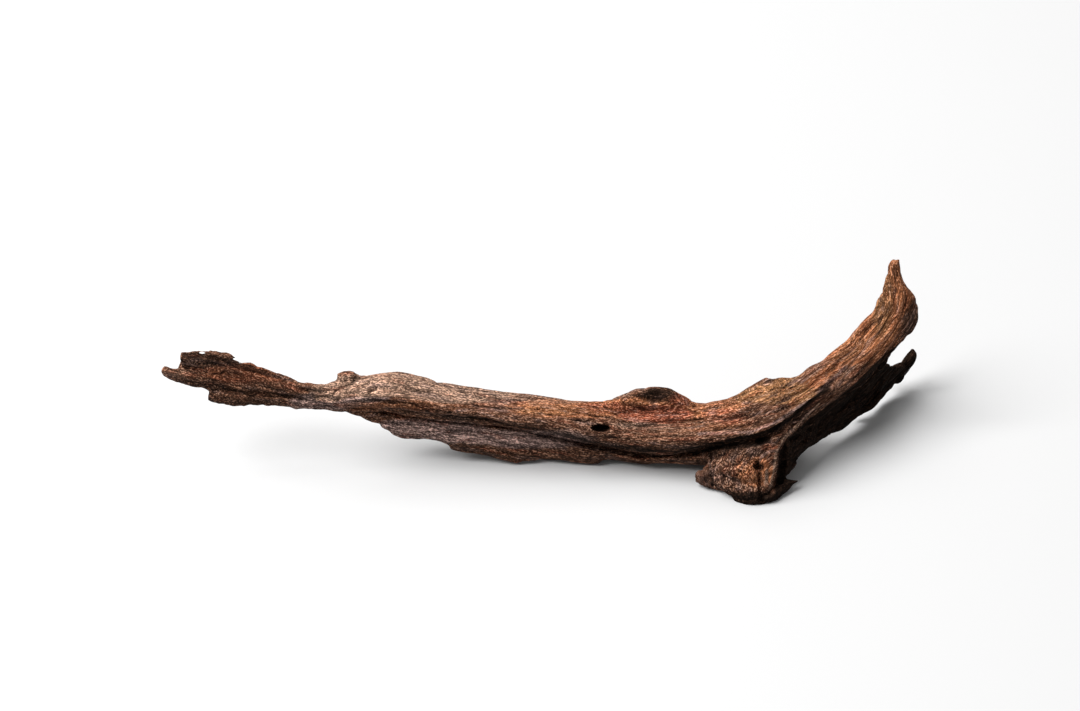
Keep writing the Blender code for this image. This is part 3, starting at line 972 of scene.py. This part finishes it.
# %% [markdown]
# ## The colours of weathered wood
#
# Under the magnifying glass each fibre has its own tone. So the masks choose between the colours
# first, strands along the grain then make them darker or lighter, a few fibres get a painted
# highlight, and painted shade darkens the hollows last.

# %% Palette
DARK_BROWN = (0.150, 0.066, 0.038, 1)
MID_BROWN = (0.255, 0.114, 0.065, 1)
ORANGE_BROWN = (0.49, 0.182, 0.078, 1)
# Gold brown of real golden patches, and also the painted rim light up the horn's left edge.
GOLD_BROWN_AND_PAINTED_RIM_LIGHT = (0.43, 0.198, 0.085, 1)
RUST = (0.36, 0.098, 0.050, 1)
PLUM_GREY = (0.47, 0.305, 0.265, 1)
GREY_PINK = (0.49, 0.295, 0.205, 1)
# Painted shade: the near-black brown laid where the shaded mask is full.
PAINTED_SHADE_BROWN = (0.018, 0.0105, 0.0070, 1)
# Painted highlight: the pale colour of fibres that would catch the light.
PAINTED_GLINT_PALE = (0.68, 0.44, 0.31, 1)

print("soot keeps", round(100 * PAINTED_SHADE_BROWN[0] / MID_BROWN[0]), "% of the middle brown's red")

# %% Helpers for a finish


def start_material(name):
    material = bpy.data.materials.new(name)
    material.use_nodes = True
    return material, material.node_tree.nodes["Principled BSDF"]


def attribute(tree, name, output="Fac"):
    node = tree.nodes.new("ShaderNodeAttribute")
    node.attribute_name = name
    return Socket(tree, node.outputs[output])


def fibre_noise(vector, length, width, detail=2.0, roughness=0.5):
    """Noise in strands of that length and width in millimetres."""
    along = GRAIN_UNIT / length
    across = GRAIN_UNIT / width
    return vector.scaled(along, across, across).noise(detail, roughness)


def mixed(share, one, other):
    """One value where the share is 0 and the other where it is 1."""
    return one + (other - one) * share


print("a strand 10 mm long has a noise scale of", GRAIN_UNIT / 10, "along the grain")

# %% [markdown]
# ## From noise to wood
#
# Every pattern below is noise in grain coordinates, stretched to a length and a width in
# millimetres: patches and wisps break up the stains' rims, splits and seams are thin dark lines,
# strands, hairs and threads are the fibres, and grains are fibres cut short.

# %% Patterns along the grain
SHORT_STRAND = 3.2
LONG_STRAND = 10.0
STRAND_WIDTH = 0.55


def grain_patterns(tree):
    """The patterns that the finish is made of, by name."""
    vector = attribute(tree, "grain", "Vector")
    granular = attribute(tree, "granular") * 0.85
    sinewy = attribute(tree, "sinewy")
    short_strand = fibre_noise(vector, SHORT_STRAND, STRAND_WIDTH, 2.0, 0.5)
    long_strand = fibre_noise(vector, LONG_STRAND, STRAND_WIDTH, 2.0, 0.5)
    grains = fibre_noise(vector, 1.0, 0.65, 1.0, 0.5)
    return SimpleNamespace(
        patch=fibre_noise(vector, 50, 12, 3.0, 0.6),
        wisp=fibre_noise(vector, 60, 3.6, 3.0, 0.6),
        tint=fibre_noise(vector, 18, 3.2, 2.0, 0.6),
        thread=fibre_noise(vector, 30, 0.9, 2.0, 0.5),
        strand=mixed(granular, mixed(sinewy, short_strand, long_strand), grains),
        hair=fibre_noise(vector, 1.3, 0.5, 0.0, 0.5),
        split=fibre_noise(vector, 50, 2.2, 2.0, 0.4).middle_lines(0.035),
        seam=fibre_noise(vector, 22, 1.1, 1.0, 0.4).middle_lines(0.06),
    )


print("strands are", round(LONG_STRAND / SHORT_STRAND, 1), "times as long up the horn")

# %% [markdown]
# ## Stains over each other
#
# Patches and wisps make the rim of each stain's mask ragged, and the mask then lays its colour over
# the ones before it. Painted shade comes last, over any colour.

# %% Colours of the stains
# Each stain is a mask, its colour, and the mask's values where the colour begins and is full.
STAINS = [
    ("plum", PLUM_GREY, 0.25, 0.8),
    ("warm", ORANGE_BROWN, 0.2, 0.8),
    ("golden_and_painted_rim_light", GOLD_BROWN_AND_PAINTED_RIM_LIGHT, 0.25, 0.85),
    ("rusty", RUST, 0.3, 0.85),
    ("bleached_and_painted_highlight", GREY_PINK, 0.3, 0.8),
]
PAINTED_SHADE_COVER = 0.94


def ragged_mask(tree, name, grown, low, high):
    """A stain's mask with its rim broken up along the grain."""
    ragged = attribute(tree, name) + (grown.patch - 0.5) * 0.55 + (grown.wisp - 0.5) * 0.55
    return ragged.between(low, high)


def stained_colour(tree, grown, painted_shade):
    """The wood's colour with every stain and the painted shade on it, before light and dark strands.
    """
    colour = grown.patch.between(0.36, 0.64).blend(DARK_BROWN, MID_BROWN)
    for name, tone, low, high in STAINS:
        colour = ragged_mask(tree, name, grown, low, high).blend(colour, tone)
    colour = (grown.tint.between(0.52, 0.68) * 0.4).blend(colour, RUST)
    colour = ((1 - grown.tint).between(0.52, 0.68) * 0.35).blend(colour, PLUM_GREY)
    # Painted shade goes over every colour.
    return (painted_shade * PAINTED_SHADE_COVER).blend(colour, PAINTED_SHADE_BROWN)


print("stains, from the lowest up:", [name for name, *_ in STAINS])

# %% [markdown]
# ## Wear and light
#
# These marks depend on where a place lies and not on its colour. The upper side is lighter and the
# underside darker, partly from bleaching and partly painted light and painted shade. Hollows get
# painted shade, the painted shade under the horn also takes the shine away, and single fibres that
# stand free get a painted highlight.

# %% Painted light and shade, and bleaching
# The top is painted lighter and the underside darker, partly bleaching and partly painted light and
# shade.
UNDERSIDE_TONE = 0.45
TOP_TONE = 1.24


def painted_light_and_bleaching(tree, grown):
    """How much bleaching with painted top light and underside shade, painted shade and painted hollow
    shade each place gets, and which fibres get a painted highlight.
    """
    fine = attribute(tree, "fine_relief")
    broad = attribute(tree, "broad_relief")
    up_facing = attribute(tree, "skyward").between(0.4, 0.95)
    painted_shade = ragged_mask(tree, "shaded", grown, 0.25, 0.95)
    free_fibre = grown.strand.between(0.5, 0.6) * grown.hair.between(0.48, 0.6)
    return SimpleNamespace(
        bleaching_and_painted_light=UNDERSIDE_TONE + up_facing * (TOP_TONE - UNDERSIDE_TONE),
        painted_shade=painted_shade,
        painted_glint=free_fibre * (1 - painted_shade),
        painted_hollow_shade=1 - (fine * 1.6 + broad * 0.3 + 0.6).between(0.0, 0.7),
    )


print("the top is", round(TOP_TONE / UNDERSIDE_TONE, 1), "times as light as the underside")

# %% [markdown]
# ## Light and dark strands
#
# Seen close, the wood is a fine mix of pale and dark strands. Short strands with specks of hair carry
# most of the contrast. Up the horn, where long threads hold together, they are calmer.

# %% Tone of the strands
BETWEEN_STRANDS = 0.24
ON_STRANDS = 0.2
ON_SPECKS = 1.9


def strand_tone(tree, grown):
    """How much lighter or darker the strands, threads, gaps and specks make the colour."""
    sinewy = attribute(tree, "sinewy")
    threaded = 0.3 + sinewy * 0.15
    streaked = 0.92 + grown.wisp.between(0.3, 0.7) * 0.16
    combed = 1 + (grown.thread.between(0.4, 0.6) - 0.55) * threaded * 1.4
    gaps = (1 - grown.split * 0.5) * (1 - grown.seam * 0.35)
    calm = grown.patch.between(0.3, 0.7) * 0.2 + sinewy * 0.25
    specks = ON_STRANDS + grown.hair.between(0.38, 0.62) * ON_SPECKS
    speckled = BETWEEN_STRANDS + grown.strand.between(0.42, 0.58) * specks
    return streaked * combed * gaps * mixed(calm, speckled, 0.85)


full_speck = BETWEEN_STRANDS + ON_STRANDS + ON_SPECKS
print("tone between strands", BETWEEN_STRANDS, "and on a full speck", round(full_speck, 2))

# %% [markdown]
# ## The finish put together
#
# Stains give the colour, bleaching with painted top light and underside shade and the strands make it
# lighter or darker, and painted highlights and painted shade in hollows come last.
# The same patterns raise the bump, so that a strand that looks pale also stands up in the light.

# %% Finish of the wood


def wood_finish():
    material, surface = start_material("weathered_wood")
    tree = material.node_tree
    grown = grain_patterns(tree)
    painted_marks = painted_light_and_bleaching(tree, grown)

    colour = stained_colour(tree, grown, painted_marks.painted_shade)
    # Bleaching with painted top light and underside shade, times the strands' tone.
    colour = colour.dimmed(painted_marks.bleaching_and_painted_light * strand_tone(tree, grown))
    # Painted highlight on free fibres, stronger on the top.
    colour = (painted_marks.painted_glint * painted_marks.bleaching_and_painted_light * 0.5).blend(colour, PAINTED_GLINT_PALE)
    # Painted shade darkens the hollows, less up the horn.
    colour = colour.dimmed(1 - painted_marks.painted_hollow_shade * (0.72 - attribute(tree, "sinewy") * 0.2))
    tree.links.new(colour.link, surface.inputs["Base Color"])

    rough = 0.75 - painted_marks.painted_glint * 0.3 + painted_marks.painted_hollow_shade * 0.2 + painted_marks.painted_shade * 0.2
    tree.links.new(rough.link, surface.inputs["Roughness"])

    height = grown.strand * 0.45 + grown.hair * 0.2 - grown.split * 0.35 - grown.seam * 0.2
    inputs = {"Height": height, "Strength": 1.0, "Distance": 0.9 * MM}
    bump = height.made("ShaderNodeBump", {}, inputs)
    tree.links.new(bump.link, surface.inputs["Normal"])
    surface.inputs["Specular IOR Level"].default_value = 0.06
    return material


wood.data.materials.clear()
wood.data.materials.append(wood_finish())
print("finish has", len(wood.data.materials[0].node_tree.nodes), "nodes")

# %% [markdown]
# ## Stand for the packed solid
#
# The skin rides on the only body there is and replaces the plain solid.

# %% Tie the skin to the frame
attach(wood, "root")
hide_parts("driftwood")
print("skin stands for the packed solid")

# %% [markdown]
# ## Floor, light and camera
#
# The wood lies on a wide white sheet. One big soft light stands high on the left and a little in
# front, so that the main shadow falls to the right. A second hangs above and behind, which lights
# the tops and leaves a faint shadow in front. A pale surround fills the rest.

# %% The floor
FLOOR_SIZE = 6.0
FLOOR_GAP = 0.1 * MM
FLOOR_WHITE = (0.75, 0.75, 0.75, 1)


def add_floor():
    half = FLOOR_SIZE / 2
    corners = [(-half, -half, 0), (half, -half, 0), (half, half, 0), (-half, half, 0)]
    mesh = bpy.data.meshes.new("floor")
    mesh.from_pydata(corners, [], [(0, 1, 2, 3)])
    floor = bpy.data.objects.new("floor", mesh)
    floor.location.z = -FLOOR_GAP
    bpy.context.scene.collection.objects.link(floor)
    material, surface = start_material("white_sheet")
    surface.inputs["Base Color"].default_value = FLOOR_WHITE
    surface.inputs["Roughness"].default_value = 0.9
    mesh.materials.append(material)


add_floor()
print("the floor is", FLOOR_SIZE, "m wide")

# %% The lights
SURROUND = 0.23
KEY_POWER = 188.0
KEY_SIZE = 3.0
KEY_PLACE = (-2.2, -0.4, 3.0)
TOP_POWER = 30.0
TOP_SIZE = 2.4
TOP_PLACE = (-0.2, 1.7, 2.7)
LIT_PLACE = (0, 0, 0.03)


def aim(obj, target):
    direction = Vector(target) - obj.location
    obj.rotation_euler = direction.to_track_quat("-Z", "Y").to_euler()


def add_light(name, spot, power, size):
    light = bpy.data.lights.new(name, "AREA")
    light.shape = "DISK"
    light.energy = power
    light.size = size
    lamp = bpy.data.objects.new(name, light)
    lamp.location = spot
    bpy.context.scene.collection.objects.link(lamp)
    aim(lamp, LIT_PLACE)


def add_surround():
    world = bpy.data.worlds.new("surround")
    world.use_nodes = True
    background = world.node_tree.nodes["Background"]
    background.inputs["Color"].default_value = (1, 1, 1, 1)
    background.inputs["Strength"].default_value = SURROUND
    bpy.context.scene.world = world


add_light("key", KEY_PLACE, KEY_POWER, KEY_SIZE)
add_light("top", TOP_PLACE, TOP_POWER, TOP_SIZE)
add_surround()
print("the top light has", round(100 * TOP_POWER / KEY_POWER), "% of the key light's power")

# %% [markdown]
# ## Camera
#
# The camera looks down at the angle the wood was drawn at. It is far away with a long lens, which
# keeps the wood's lines as they were drawn. Its target follows from where the wood's middle and its
# lowest point lie in the picture, and its lens from how many millimetres a pixel covers.

# %% The camera
PHOTO_WIDTH = 1080
PHOTO_HEIGHT = 711
MM_PER_PIXEL = 0.6
MIDDLE_PIXEL = 541
LOWEST_PIXEL = 503
CAMERA_DISTANCE = 5.0
SENSOR = 36.0


def add_camera():
    x = (PHOTO_WIDTH / 2 - MIDDLE_PIXEL) * MM_PER_PIXEL
    seen = (LOWEST_PIXEL - PHOTO_HEIGHT / 2) * MM_PER_PIXEL
    target = place(x, seen, MIDDLE_BACK)
    lens = bpy.data.cameras.new("camera")
    lens.sensor_width = SENSOR
    lens.lens = SENSOR * CAMERA_DISTANCE / (PHOTO_WIDTH * MM_PER_PIXEL * MM)
    lens.clip_end = 50
    camera = bpy.data.objects.new("camera", lens)
    camera.location = target + TO_VIEWER * CAMERA_DISTANCE
    bpy.context.scene.collection.objects.link(camera)
    aim(camera, target)
    bpy.context.scene.camera = camera
    return camera


camera = add_camera()
bpy.context.scene.view_settings.view_transform = "Standard"
print("camera lens", round(camera.data.lens), "mm at", CAMERA_DISTANCE, "m")

# %% [markdown]
